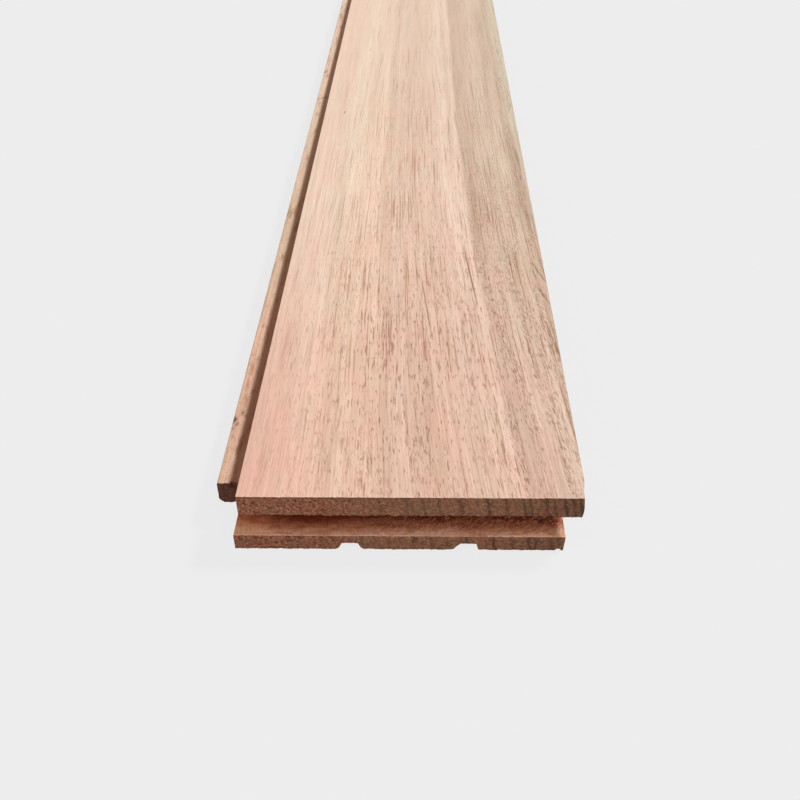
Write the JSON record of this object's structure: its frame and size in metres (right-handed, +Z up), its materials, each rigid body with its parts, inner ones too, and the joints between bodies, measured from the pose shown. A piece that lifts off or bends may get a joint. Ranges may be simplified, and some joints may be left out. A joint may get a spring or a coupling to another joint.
{
  "type": "tongue and groove board",
  "caption": "Straight planed hardwood strip with tongue and groove sides and ends and a channelled underside, laid edge to edge as a floor or lining.",
  "frame": {"origin": "on the surface that the board lies on, under the middle of its box", "axes": "+Y along the board towards the tongued end, +X towards the side groove, +Z up through the face"},
  "size_m": [0.098, 0.912, 0.019],
  "materials": {
    "hardwood": "planed, unsealed"
  },
  "bodies": {
    "root": {"board": "hardwood"}
  },
  "joints": []
}
